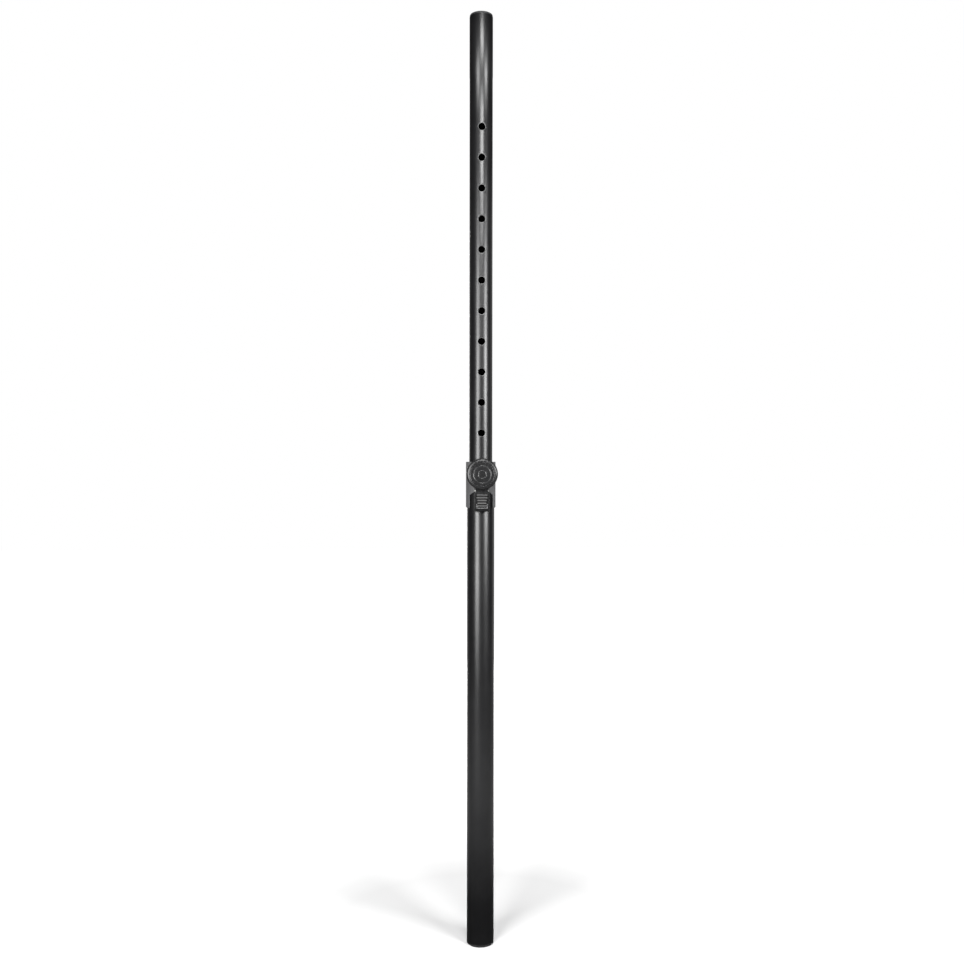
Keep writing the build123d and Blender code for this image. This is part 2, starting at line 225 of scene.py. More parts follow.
def graded(material, noise, band, ends=(0.0, 1.0)):
    # a grey that goes from one end to the other while the noise goes through the band
    node = material.node_tree.nodes.new("ShaderNodeValToRGB")
    for element, place, value in zip(node.color_ramp.elements, band, ends):
        element.position = place
        element.color = (value, value, value, 1)
    material.node_tree.links.new(noise, node.inputs["Fac"])
    return node.outputs["Color"]


def blended(material, low, high, factor):
    # low and high are colours or colour sockets
    node = material.node_tree.nodes.new("ShaderNodeMix")
    node.data_type = "RGBA"
    links = material.node_tree.links
    if isinstance(factor, float):
        node.inputs["Factor"].default_value = factor
    else:
        links.new(factor, node.inputs["Factor"])
    for socket, value in ((node.inputs[6], low), (node.inputs[7], high)):
        if isinstance(value, tuple):
            socket.default_value = (*value, 1)
        else:
            links.new(value, socket)
    return node.outputs[2]


def bumped(material, source, strength, distance, before=None):
    node = material.node_tree.nodes.new("ShaderNodeBump")
    node.inputs["Strength"].default_value = strength
    node.inputs["Distance"].default_value = distance * mm
    material.node_tree.links.new(source, node.inputs["Height"])
    if before:
        material.node_tree.links.new(before, node.inputs["Normal"])
    return node.outputs["Normal"]


noiseBands = {"patches": (0.35, 0.7), "specks": (0.62, 0.72), "gloss": (0.3, 0.7)}
glossFiner = 2.7  # the gloss varies over shorter distances than the shade


def coated(name, slot, look):
    # paint or plastic: two shades in soft patches, pale specks, an uneven gloss and a fine skin
    material, nodes, links = newFinish(name, slot)
    shader = nodes["Principled BSDF"]
    patches = graded(material, noiseOn(material, look["patchScale"], 3), noiseBands["patches"])
    shade = blended(material, look["shade"], look["light"], patches)
    specks = graded(material, noiseOn(material, look["speckScale"], 2), noiseBands["specks"])
    amount = blended(material, (0, 0, 0), specks, look["speckAmount"])
    links.new(blended(material, shade, look["speck"], amount), shader.inputs["Base Color"])
    gloss = noiseOn(material, look["patchScale"] * glossFiner, 5, look.get("stretch", (1, 1, 1)))
    links.new(graded(material, gloss, noiseBands["gloss"], look["rough"]), shader.inputs["Roughness"])
    skin = bumped(material, noiseOn(material, look["skinScale"], 2), look["skin"], look["skinDepth"])
    fine = noiseOn(material, look["grainScale"], 3)
    links.new(bumped(material, fine, look["grain"], look["grainDepth"], skin), shader.inputs["Normal"])
    shader.inputs["Specular IOR Level"].default_value = look.get("gloss", 0.5)
    return material


tubeLook = {
    "shade": (0.0042, 0.0042, 0.0046), "light": (0.0072, 0.0072, 0.0078), "speck": (0.018, 0.018, 0.019),
    "speckAmount": 0.35, "patchScale": 22, "speckScale": 1900, "rough": (0.27, 0.36), "skinScale": 620,
    "skin": 0.5, "skinDepth": 0.12, "grainScale": 3200, "grain": 0.3, "grainDepth": 0.03,
    "stretch": (1, 1, 0.12),
}
collarLook = {
    "shade": (0.074, 0.074, 0.076), "light": (0.096, 0.096, 0.098), "speck": (0.15, 0.15, 0.15),
    "speckAmount": 0.4, "patchScale": 60, "speckScale": 2600, "rough": (0.52, 0.66), "gloss": 0.35,
    "skinScale": 1500, "skin": 0.9, "skinDepth": 0.06, "grainScale": 5200, "grain": 0.8, "grainDepth": 0.03,
}
leverLook = {
    "shade": (0.0045, 0.0045, 0.0048), "light": (0.0075, 0.0075, 0.008), "speck": (0.02, 0.02, 0.021),
    "speckAmount": 0.3, "patchScale": 80, "speckScale": 2600, "rough": (0.25, 0.34), "gloss": 0.4,
    "skinScale": 1700, "skin": 0.9, "skinDepth": 0.05, "grainScale": 5200, "grain": 0.8, "grainDepth": 0.03,
}
capLook = {
    "shade": (0.0065, 0.0065, 0.0069), "light": (0.0105, 0.0105, 0.011), "speck": (0.03, 0.03, 0.031),
    "speckAmount": 0.3, "patchScale": 90, "speckScale": 2600, "rough": (0.24, 0.33), "gloss": 0.4,
    "skinScale": 1700, "skin": 0.7, "skinDepth": 0.04, "grainScale": 5200, "grain": 0.5, "grainDepth": 0.02,
}
rubberLook = {
    "shade": (0.052, 0.052, 0.053), "light": (0.068, 0.067, 0.066), "speck": (0.10, 0.10, 0.10),
    "speckAmount": 0.3, "patchScale": 140, "speckScale": 3000, "rough": (0.62, 0.8), "gloss": 0.3,
    "skinScale": 2100, "skin": 1.0, "skinDepth": 0.05, "grainScale": 6200, "grain": 1.0, "grainDepth": 0.02,
}
plugLook = {
    "shade": (0.020, 0.020, 0.021), "light": (0.030, 0.030, 0.031), "speck": (0.05, 0.05, 0.052),
    "speckAmount": 0.4, "patchScale": 70, "speckScale": 2400, "rough": (0.45, 0.6), "gloss": 0.4,
    "skinScale": 1500, "skin": 0.9, "skinDepth": 0.05, "grainScale": 5200, "grain": 0.8, "grainDepth": 0.03,
}
guideLook = {
    "shade": (0.012, 0.012, 0.013), "light": (0.020, 0.020, 0.021), "speck": (0.03, 0.03, 0.03),
    "speckAmount": 0.3, "patchScale": 70, "speckScale": 2400, "rough": (0.4, 0.55), "gloss": 0.45,
    "skinScale": 1500, "skin": 0.6, "skinDepth": 0.05, "grainScale": 5200, "grain": 0.6, "grainDepth": 0.03,
}
rivetLook = {
    "shade": (0.008, 0.008, 0.009), "light": (0.016, 0.016, 0.017), "speck": (0.05, 0.05, 0.05),
    "speckAmount": 0.5, "patchScale": 120, "speckScale": 2400, "rough": (0.28, 0.42), "gloss": 0.5,
    "skinScale": 1100, "skin": 0.6, "skinDepth": 0.06, "grainScale": 4200, "grain": 0.4, "grainDepth": 0.02,
}
steelLook = {
    "shade": (0.42, 0.42, 0.41), "light": (0.62, 0.62, 0.60), "patchScale": 160, "rough": (0.24, 0.42),
    "brushScale": 900, "brushStretch": (1, 1, 14), "brush": 0.15, "brushDepth": 0.02,
}


def shadedInHollows(material, front, back, hollow):
    # painted shade: darker in the hollows, the colour going over to the shade colour with the depth behind
    # the front of the piece
    nodes, links = material.node_tree.nodes, material.node_tree.links
    colour = nodes["Principled BSDF"].inputs["Base Color"]
    split = nodes.new("ShaderNodeSeparateXYZ")
    links.new(nodes["objectCoords"].outputs["Object"], split.inputs["Vector"])
    depth = nodes.new("ShaderNodeMapRange")
    depth.inputs["From Min"].default_value = -front * mm
    depth.inputs["From Max"].default_value = -back * mm
    links.new(split.outputs["Y"], depth.inputs["Value"])
    links.new(blended(material, colour.links[0].from_socket, hollow, depth.outputs["Result"]), colour)


def plated(name, slot, look):
    # bright plating with turning marks
    material, nodes, links = newFinish(name, slot)
    shader = nodes["Principled BSDF"]
    shader.inputs["Metallic"].default_value = 1.0
    patches = noiseOn(material, look["patchScale"], 4)
    links.new(blended(material, look["shade"], look["light"], patches), shader.inputs["Base Color"])
    brush = noiseOn(material, look["brushScale"], 2, look["brushStretch"])
    links.new(graded(material, brush, noiseBands["gloss"], look["rough"]), shader.inputs["Roughness"])
    links.new(bumped(material, brush, look["brush"], look["brushDepth"]), shader.inputs["Normal"])
    return material


# painted shade: a darker, duller copy of the cap plastic for the flange and back of the head
rimShadeLook = dict(
    capLook, shade=(0.003, 0.003, 0.0032), light=(0.005, 0.005, 0.0052), rough=(0.36, 0.46), gloss=0.2,
)
# painted highlight: a lighter, glossier copy of the grip rubber for the raised lip round the pad's foot
lipHighlightLook = dict(
    rubberLook, shade=(0.11, 0.11, 0.112), light=(0.15, 0.15, 0.15), rough=(0.4, 0.5), gloss=0.5,
)
# painted highlight: a lighter copy of the tube coat for the rolled rims of the holes
holeRimHighlightLook = dict(
    tubeLook, shade=(0.07, 0.07, 0.07), light=(0.15, 0.15, 0.15), speck=(0.30, 0.30, 0.30), patchScale=300,
)

tubeCoat = coated("satinPowderCoat", "tube_coat", tubeLook)
holeRimHighlightCoat = coated("holeRimHighlight", "tube_coat", holeRimHighlightLook)
collarNylon = coated("collarNylon", "collar_nylon", collarLook)
leverNylon = coated("leverNylon", "lever_nylon", leverLook)
capPlastic = coated("capPlastic", "cap_plastic", capLook)
rimShadePlastic = coated("rimShadePlastic", "cap_plastic", rimShadeLook)
gripRubber = coated("gripRubber", "grip_rubber", rubberLook)
lipHighlightRubber = coated("lipHighlightRubber", "grip_rubber", lipHighlightLook)
plugPlastic = coated("plugPlastic", "plug_plastic", plugLook)
guideNylon = coated("guideNylon", "guide_nylon", guideLook)
rivetBlack = coated("rivetBlack", "rivet_black", rivetLook)
platedSteel = plated("platedSteel", "plated_steel", steelLook)
print("finishes made")


def makeLowerTube():
    look = {"wall": 1.9, "edge": 0.3, "steps": 128}
    low, high, outer, edge = tubeLow.z, tubeHigh.z, lowerRadius, look["edge"]
    inner = outer - look["wall"]
    corners = [(inner, low, edge), (outer, low, edge), (outer, high, edge), (inner, high, edge)]
    wall = lathe(corners, look["steps"])
    return finished(wall, "lowerTube", tubeCoat, "lower_pole", "lower_tube")


def frontY(radius, x):
    return -sqrt(radius * radius - x * x)


def grownLoop(bm, edges):
    # extrudes an open loop of edges in place
    geom = bmesh.ops.extrude_edge_only(bm, edges=edges)["geom"]
    verts = {g for g in geom if isinstance(g, bmesh.types.BMVert)}
    edges = [g for g in geom if isinstance(g, bmesh.types.BMEdge) and set(g.verts) <= verts]
    faces = [g for g in geom if isinstance(g, bmesh.types.BMFace)]
    return verts, edges, faces


def perforatedSkin(bm, heights, radiusAt, holes, look, holeRadius):
    # one skin of the tube, grown ring by ring, with a round opening at each hole
    steps = look["steps"]
    start = Matrix.Translation((0, 0, heights[0] * mm))
    foot = bmesh.ops.create_circle(bm, segments=steps, radius=radiusAt(heights[0]) * mm, matrix=start)
    edges = list(dict.fromkeys(e for v in foot["verts"] for e in v.link_edges))
    first, skin = edges, []
    for i in range(1, len(heights)):
        verts, edges, faces = grownLoop(bm, edges)
        skin += faces
        factor = radiusAt(heights[i]) / radiusAt(heights[i - 1])
        for v in verts:
            v.co = (v.co.x * factor, v.co.y * factor, heights[i] * mm)
    last = edges
    loops = []
    for hole in holes:
        radius = radiusAt(hole)
        reach = radius * sin(look["windowSteps"] / 2 * tau / steps) + look["margin"]
        span = look["windowHalf"] + look["margin"]

        def inside(point):
            onSkin = abs(sqrt(point.x ** 2 + point.y ** 2) - radius * mm) < look["nearSkin"] * mm
            inWindow = abs(point.x) < reach * mm and abs(point.z - hole * mm) < span * mm
            return onSkin and inWindow and point.y < 0

        gone = [f for f in skin if f.is_valid and inside(f.calc_center_median())]
        bmesh.ops.delete(bm, geom=gone, context="FACES")
        rim = [e for e in bm.edges if e.is_boundary and all(inside(v.co) for v in e.verts)]
        ring = {}  # the point on the hole's edge for each point of the window
        for v in (v for e in rim for v in e.verts):
            if v not in ring:
                turn = atan2((v.co.z / mm - hole) / look["windowHalf"], v.co.x / mm / reach)
                x, z = holeRadius * cos(turn), hole + holeRadius * sin(turn)
                ring[v] = bm.verts.new((x * mm, frontY(radius, x) * mm, z * mm))
        for edge in rim:
            start, end = edge.verts
            bm.faces.new((start, end, ring[end], ring[start]))
        loops.append([bm.edges.get([ring[v] for v in edge.verts]) for edge in rim])
    return first, last, loops


def makeUpperTube():
    look = {
        "wall": 2.0, "shaft": 17.3, "spigot": 90.0, "shoulder": 0.4, "endEdge": 0.3, "steps": 96,
        "hole": 5.3, "edge": 0.6, "edgeSteps": 4, "firstGap": 61.3, "pitch": 45.5, "pitches": 10,
        "windowSteps": 12, "windowHalf": 6.6, "margin": 0.01, "nearSkin": 0.5,
    }
    low, high = slideLow.z, slideHigh.z
    shoulder = high - look["spigot"]
    shaft, inner = look["shaft"], look["shaft"] - look["wall"]
    holes = [lockZ] + [lockZ + look["firstGap"] + i * look["pitch"] for i in range(look["pitches"] + 1)]
    span, steps = look["windowHalf"], look["windowSteps"]
    levels = [low]
    for hole in holes:
        levels += [hole - span + i * 2 * span / steps for i in range(steps + 1)]
    levels += [shoulder, shoulder + look["shoulder"], high - look["endEdge"], high]

    def outerAt(height):
        if height == high:
            return spigotRadius - look["endEdge"]
        return shaft if height <= shoulder else spigotRadius

    bm = bmesh.new()
    rim = look["hole"] + look["edge"]
    outerFirst, outerLast, outerLoops = perforatedSkin(bm, levels, outerAt, holes, look, rim)
    innerFirst, innerLast, _ = perforatedSkin(bm, levels, lambda _: inner, holes, look, look["hole"])
    bmesh.ops.bridge_loops(bm, edges=outerFirst + innerFirst)
    bmesh.ops.bridge_loops(bm, edges=outerLast + innerLast)
    for hole, edges in zip(holes, outerLoops):
        was = rim
        for i in range(1, look["edgeSteps"] + 2):  # rolls the hole's rim inwards, then drops to the bore
            rolling = i <= look["edgeSteps"]
            turn = min(i / look["edgeSteps"], 1) * pi / 2
            wide = look["hole"] + look["edge"] * (1 - sin(turn))
            deep = shaft - look["edge"] * (1 - cos(turn)) if rolling else inner
            verts, edges, faces = grownLoop(bm, edges)
            for face in faces:
                # the rolled rim takes the lighter coat, a painted highlight; the drop to the bore keeps the
                # tube coat
                face.material_index = int(rolling)
            for v in verts:
                v.co.x *= wide / was
                v.co.z = hole * mm + (v.co.z - hole * mm) * wide / was
                v.co.y = frontY(deep, v.co.x / mm) * mm
            was = wide
    tube = finished(cleaned(bm), "upperTube", tubeCoat, "upper_pole", "upper_tube")
    tube.data.materials.append(holeRimHighlightCoat)
    return tube


makeLowerTube()
makeUpperTube()
print("tubes made")


def makeTopPlug():
    look = {
        "step": 0.3, "edge": 1.4, "dome": 1.5, "domeAt": (0.36, 0.72), "domeSoft": 1.5, "sideRise": 0.1,
        "heel": 0.2, "stem": 15.25, "stemWall": 2.45, "stemTop": 0.1, "stemFoot": 0.8, "mouth": 0.4,
        "shell": 0.4,
    }
    low, high = boxMm("top_end_plug")
    seat, crown = slideHigh.z, high.z
    rim, side = spigotRadius - look["step"], crown - look["dome"]
    flat, slope = look["domeAt"]
    stem, bore = look["stem"], look["stem"] - look["stemWall"]
    corners = [
        (0, crown), (rim * flat, crown, look["domeSoft"]),
        (rim * slope, side + look["sideRise"], look["domeSoft"]), (rim, side, look["edge"]),
        (rim, seat + look["heel"], look["heel"]), (stem, seat, look["stemTop"]),
        (stem, low.z, look["stemFoot"]), (bore, low.z, look["mouth"]),
        (bore, seat + look["shell"]), (0, seat + look["shell"]),
    ]
    return finished(lathe(corners), "topEndPlug", plugPlastic, "upper_pole", "top_end_plug")


def makeSocketLiner():
    look = {
        "socket": 35.5, "depth": 80.0, "floor": 3.0, "floorEdge": 1.0, "mouth": 0.6, "edge": 1.2,
        "flange": 3.0, "heel": 0.3, "sleeve": 18.45, "topEdge": 0.6,
    }
    bore, sleeve, flange = look["socket"] / 2, look["sleeve"], look["flange"]
    top = look["depth"] + look["floor"]
    corners = [
        (0, look["depth"]), (bore, look["depth"], look["floorEdge"]), (bore, 0, look["mouth"]),
        (lowerRadius, 0, look["edge"]), (lowerRadius, flange, look["heel"]), (sleeve, flange),
        (sleeve, top, look["topEdge"]), (0, top),
    ]
    return finished(lathe(corners), "socketLiner", plugPlastic, "lower_pole", "socket_liner")


makeTopPlug()
makeSocketLiner()
print("ends made")


sideways = Matrix(((0, 0, -1, 0), (-1, 0, 0, 0), (0, 1, 0, 0), (0, 0, 0, 1)))


def across(points, half):
    # an outline of (out, up) points, raised across X to both sides
    return moved(prism(points, -half, half), sideways)


def arc(centre, radius, start, end, steps=16):
    turns = [radians(start + (end - start) * i / steps) for i in range(steps + 1)]
    return [(centre[0] + radius * cos(turn), centre[1] + radius * sin(turn)) for turn in turns]


def circle(centre, radius, steps=24):
    return arc(centre, radius, 0, 360, steps)[:-1]


def bothSides(right):
    # a whole outline from its right half
    left = [(-x, y) for x, y in reversed(right)]
    return left[-1:] + right + left[:-1]


rivet = {  # the two rivets on the back of the collar, and the seats they lie in
    "rises": (12.0, 32.0), "start": 18.6, "shank": 4.0, "seat": 0.5, "seatWide": 8.1, "head": 8.0,
    "side": 0.7, "headRise": 1.5, "domeAt": 0.72, "domeDrop": 0.25, "domeSoft": 0.7, "soft": (0.15, 0.2),
}


def makeCollar():
    look = {
        "bore": 20.5, "lip": 2.5, "lipEdge": 0.3, "throat": 17.9, "throatEdge": 0.6, "rim": 0.9,
        "chamfer": 1.6, "chamferSoft": (0.3, 0.5), "window": (34.4, 24.6), "corner": (6.1, 4.7),
        "windowFrom": 8.0, "windowEdge": 0.45, "near": 0.1,
        "boss": 17.0, "bossEdge": 0.9, "bossEnd": 27.8, "bossCap": 1.3, "pinBore": 9.7, "pinFrom": 17.0,
        "stemBore": 6.5, "stemFrom": 20.0, "lug": 14.0, "lugRoot": 1.5, "lugShoulder": 2.9, "lugEdge": 0.5,
        "hub": 3.4, "hingeBore": 3.04,
    }
    low, high = collarLow.z, collarHigh.z
    bore, throat, chamfer, lip = look["bore"], look["throat"], look["chamfer"], high - look["lip"]
    shell = lathe([
        (bore, low), (collarRadius - chamfer, low, look["chamferSoft"][0]),
        (collarRadius, low + chamfer, look["chamferSoft"][1]), (collarRadius, high, look["rim"]),
        (throat, high, look["throatEdge"]), (throat, lip, look["lipEdge"]), (bore, lip),
    ])
    half, top = look["window"][0] / 2, low + look["window"][1]
    cornerWide, cornerTall = look["corner"]
    window = bothSides([(half, low - beyond), (half, top - cornerTall), (half - cornerWide, top)])

    def onWindow(point):
        return point.y < 0 and abs(point.x) < half + look["near"] and point.z < top + look["near"]

    shell = cut(shell, toFront(prism(window, look["windowFrom"], collarRadius + 2 * beyond)))
    shell = softened(shell, look["windowEdge"], 3, 35, onWindow)
    boss, end = look["boss"] / 2, look["bossEnd"]
    boss = lathe([(0, lowerRadius), (boss, lowerRadius), (boss, end, look["bossEdge"]), (0, end)], 72)
    shell = joined(shell, toFront(boss, lockZ))
    hinge, hub, wall = (hingeOut, hingeZ), look["hub"], collarRadius - look["lugRoot"]
    lug = [(wall, hingeZ - hub)] + arc(hinge, hub, -90, 90) + [(wall, hingeZ + hub + look["lugShoulder"])]
    shell = joined(shell, softened(across(lug, look["lug"] / 2), look["lugEdge"], 3, 60))
    shell = cut(shell, toFront(rod(look["pinBore"] / 2, look["pinFrom"], end - look["bossCap"]), lockZ))
    shell = cut(shell, toFront(rod(look["stemBore"] / 2, look["stemFrom"], end + beyond), lockZ))
    shell = cut(shell, across(circle(hinge, look["hingeBore"] / 2), look["lug"]))
    for rise in rivet["rises"]:
        seat = rod(rivet["seatWide"] / 2, collarRadius - rivet["seat"], collarRadius + 2 * beyond)
        shell = cut(shell, toBack(seat, low + rise))
    return finished(shell, "collar", collarNylon, "lower_pole", "collar", weighted=True)


def makeCollarRivets():
    shank, head = rivet["shank"] / 2, rivet["head"] / 2
    seat, crown = collarRadius - rivet["seat"], collarRadius + rivet["headRise"]
    corners = [
        (0, rivet["start"]), (shank, rivet["start"]), (shank, seat), (head, seat, rivet["soft"][0]),
        (head, seat + rivet["side"], rivet["soft"][1]),
        (head * rivet["domeAt"], crown - rivet["domeDrop"], rivet["domeSoft"]), (0, crown),
    ]
    rivets = [toBack(lathe(corners, 48), collarLow.z + rise) for rise in rivet["rises"]]
    return finished(gathered(rivets), "collarRivets", rivetBlack, "lower_pole", "collar_rivets")


def makeHingePin():
    look = {"radius": 1.5, "edge": 0.35}
    radius, edge, half = look["radius"], look["edge"], hingeHigh.x
    pin = lathe([(0, -half), (radius, -half, edge), (radius, half, edge), (0, half)], 32)
    turn = Matrix.Translation((0, -hingeOut * mm, hingeZ * mm)) @ Matrix.Rotation(pi / 2, 4, "Y")
    return finished(moved(pin, turn), "hingePin", platedSteel, "lower_pole", "hinge_pin")


def makeHingeClips():
    look = {"inner": 1.52, "outer": 2.6, "thickness": 0.6, "opening": 70, "edge": 0.1, "steps": 40}
    far = boxMm("hinge_clips")[1].x
    near = far - look["thickness"]
    corners = [(look["inner"], near), (look["outer"], near), (look["outer"], far), (look["inner"], far)]
    opened = Matrix.Rotation(radians(look["opening"] / 2 - 90), 4, "Z")  # the gap points down
    place = Matrix.Translation((0, -hingeOut * mm, hingeZ * mm))
    clips = []
    for side in (-1, 1):
        bm = bmesh.new()
        face = bm.faces.new([bm.verts.new((radius * mm, 0, height * mm)) for radius, height in corners])
        geom = [face] + face.edges[:] + face.verts[:]
        turn = radians(360 - look["opening"])
        bmesh.ops.spin(bm, geom=geom, cent=(0, 0, 0), axis=(0, 0, 1), angle=turn, steps=look["steps"])
        turned = place @ Matrix.Rotation(side * pi / 2, 4, "Y") @ opened
        clips.append(softened(moved(cleaned(bm), turned), look["edge"], 2, 60))
    return finished(gathered(clips), "hingeClips", platedSteel, "lower_pole", "hinge_clips")


makeCollar()
makeCollarRivets()
makeHingePin()
makeHingeClips()
print("collar made")


def makeHeadCap():
    look = {
        "thickness": 4.2, "skin": 1.1, "seat": 6.5, "flange": 1.5, "flangeFoot": 0.1, "flangeEdge": 0.4,
        "backEdge": 0.25, "step": 1.25, "band": 4.9, "bandDrop": 0.62, "bandSet": 0.05, "bandSoft": 0.2,
        "roll": 1.3, "rollStart": 0.16, "rollSteps": 10, "rings": (6.6, 13.6), "groove": 1.3, "deep": 0.4,
        "soft": 0.35, "edgeGroove": 1.0, "edgeWall": 0.3, "rimAbove": 0.2,
    }
    radius, thick, flange = headHigh.x, look["thickness"], look["flange"]
    soft, bandSoft, floor = look["soft"], look["bandSoft"], thick - look["deep"]
    outer, bandIn = radius - look["step"], radius - look["band"]
    corners = [(0, thick)]
    for ring in look["rings"]:
        inner = ring - look["groove"]
        corners += [(inner, thick, soft), ((inner + ring) / 2, floor, soft), (ring, thick, soft)]
    inner, wall = bandIn - look["edgeGroove"], look["edgeWall"]
    corners += [
        (inner, thick, bandSoft), (inner + wall, floor, bandSoft), (bandIn - wall, floor, bandSoft),
        (bandIn, thick - look["bandSet"], bandSoft),
    ]
    crown, roll, start = thick - look["bandDrop"], look["roll"], look["rollStart"]
    for i in range(look["rollSteps"] + 1):  # the rim rolls over from the sloping band
        turn = (start + (1 - start) * i / look["rollSteps"]) * pi / 2
        corners.append((outer - roll + roll * sin(turn), crown - roll + roll * cos(turn)))
    corners += [
        (outer, flange, look["flangeFoot"]), (radius, flange, look["flangeEdge"]),
        (radius, 0, look["backEdge"]), (look["seat"], 0), (look["seat"], thick - look["skin"]),
        (0, thick - look["skin"]),
    ]
    shape = lathe(corners, 128)
    # painted shade: the faces below the rim take the darker, duller copy of the cap plastic
    for face in shape.faces:
        if face.calc_center_median().z / mm < flange + look["rimAbove"]:
            face.material_index = 1
    cap = toFront(moved(shape, Matrix.Translation((0, 0, -headHigh.y * mm))), lockZ)
    cap = finished(cap, "headCap", capPlastic, "lever", "head_cap")
    cap.data.materials.append(rimShadePlastic)
    return cap


def makeGripPad():
    look = {
        "width": 16.8, "narrow": 1.3, "shoulder": 1.5, "slope": (2.1, 0.1), "base": 0.5, "baseEdge": 0.25,
        "ribs": 5, "wideRibs": 2, "pitch": 4.07, "firstRib": 1.65, "rise": 2.2, "ribRoot": 0.3,
        "thick": 1.9, "edge": 0.5, "ribSetback": 0.2,
        # the painted shade between the ribs: its colour and the two limits of its depth
        "hollow": (0.004, 0.004, 0.004), "hollowFrom": 0.3, "hollowTo": 1.2,
        "lip": 1.0, "lipSide": 1.0, "lipRise": 3.6, "lipFlare": 0.8, "lipFoot": 2.9, "lipBack": 1.0,
        "lipProud": 0.75, "lipEdge": 0.3,
    }
    low, high = boxMm("grip_pad")
    back, top, bottom = -high.y, high.z, low.z
    half = look["width"] / 2
    narrow, middle = half - look["narrow"], top - look["shoulder"] * look["pitch"]
    slopeLow, slopeHigh = (middle - drop for drop in look["slope"])
    outline = bothSides([(narrow, bottom), (narrow, slopeLow), (half, slopeHigh), (half, top)])
    pad = toFront(softened(prism(outline, back, back + look["base"]), look["baseEdge"], 2))
    front, root = back + look["base"] + look["rise"], back + look["ribRoot"]
    for i in range(look["ribs"]):
        reach = (half if i < look["wideRibs"] else narrow) - look["ribSetback"]
        height = top - look["firstRib"] - i * look["pitch"]
        rib = block(2 * reach, front - root, look["thick"], (0, -(front + root) / 2, height))
        pad = joined(pad, softened(rib, look["edge"], 3))
    # painted shade: the rubber goes darker with the depth between the ribs, where shade falls
    shadedInHollows(gripRubber, front - look["hollowFrom"], back + look["hollowTo"], look["hollow"])
    lip, flare, foot = look["lip"], look["lipFlare"], bottom - look["lipFoot"]
    lipHalf, lipTop = narrow + look["lipSide"], bottom + look["lipRise"]
    bend = lipTop - 2 * flare
    hoop = bothSides([  # the raised lip round the foot of the pad, open at the top
        (lipHalf, foot), (lipHalf, bend), (lipHalf + flare, lipTop), (lipHalf + flare - lip, lipTop),
        (lipHalf - lip, bend), (lipHalf - lip, foot + lip),
    ])
    hoop = softened(prism(hoop, back + look["lipBack"], front + look["lipProud"]), look["lipEdge"], 3, 40)
    # the lip takes the lighter copy of the rubber: painted highlight
    for face in hoop.faces:
        face.material_index = 1
    whole = gathered([pad, toFront(hoop)])
    pad = finished(whole, "gripPad", gripRubber, "lever", "grip_pad", weighted=True)
    pad.data.materials.append(lipHighlightRubber)
    return pad


def leverBody(look, front, back, bottom):
    # the arms seen from the side, rounded, with the round plate behind the head
    plateBack, plateFront = look["plateBack"], look["plateFront"]
    seam, waist = plateBack + look["seam"], front - look["waist"]
    root = lockZ - look["root"]
    browIn, browUp = look["brow"]
    toeIn, toeUp, toeTall = look["toe"]
    outline = [
        (seam, root), (plateFront - look["rootSet"], root), (front - browIn, hingeZ + browUp),
        (waist, hingeZ + look["waistTall"]), (waist, hingeZ - look["waistTall"]),
        (front, hingeZ - look["belly"]), (front, bottom + toeTall), (front - toeIn, bottom + toeUp),
        (back, bottom), (back, hingeZ - look["hip"]), (hingeOut, hingeZ - look["hub"]),
        (hingeOut, hingeZ + look["hub"]), (seam, hingeZ + look["neck"]),
    ]
    body = softened(across(outline, look["width"] / 2), look["edge"], 4, 30)
    plate = lathe([
        (0, plateBack), (look["plate"], plateBack, look["backEdge"]),
        (look["plate"], plateFront, look["plateEdge"]), (0, plateFront),
    ], 128)
    return joined(body, toFront(plate, lockZ))


def leverPocket(look, front, gripLow, gripHigh):
    # the tapered hollow that holds the grip pad
    half, narrow = gripHigh.x + look["pocketRoom"], gripHigh.x - look["pocketNarrow"]
    low, top = gripLow.z - look["pocketDrop"], gripHigh.z + look["pocketRoom"]
    middle = gripHigh.z - look["pocketShoulder"]
    right = [(narrow, low), (narrow, middle - look["pocketSlope"]), (half, middle), (half, top)]
    pocket = prism(bothSides(right), look["pocketFloor"], front + look["pocketRoom"])
    centre = (low + gripHigh.z) / 2
    for v in pocket.verts:
        if v.co.z > look["pocketFloor"] * mm + weldGap:  # it widens towards its mouth
            v.co.x += look["draft"][0] * mm * (1 if v.co.x > 0 else -1)
            v.co.y += look["draft"][1] * mm * (1 if v.co.y > centre * mm else -1)
    return toFront(pocket), narrow, low


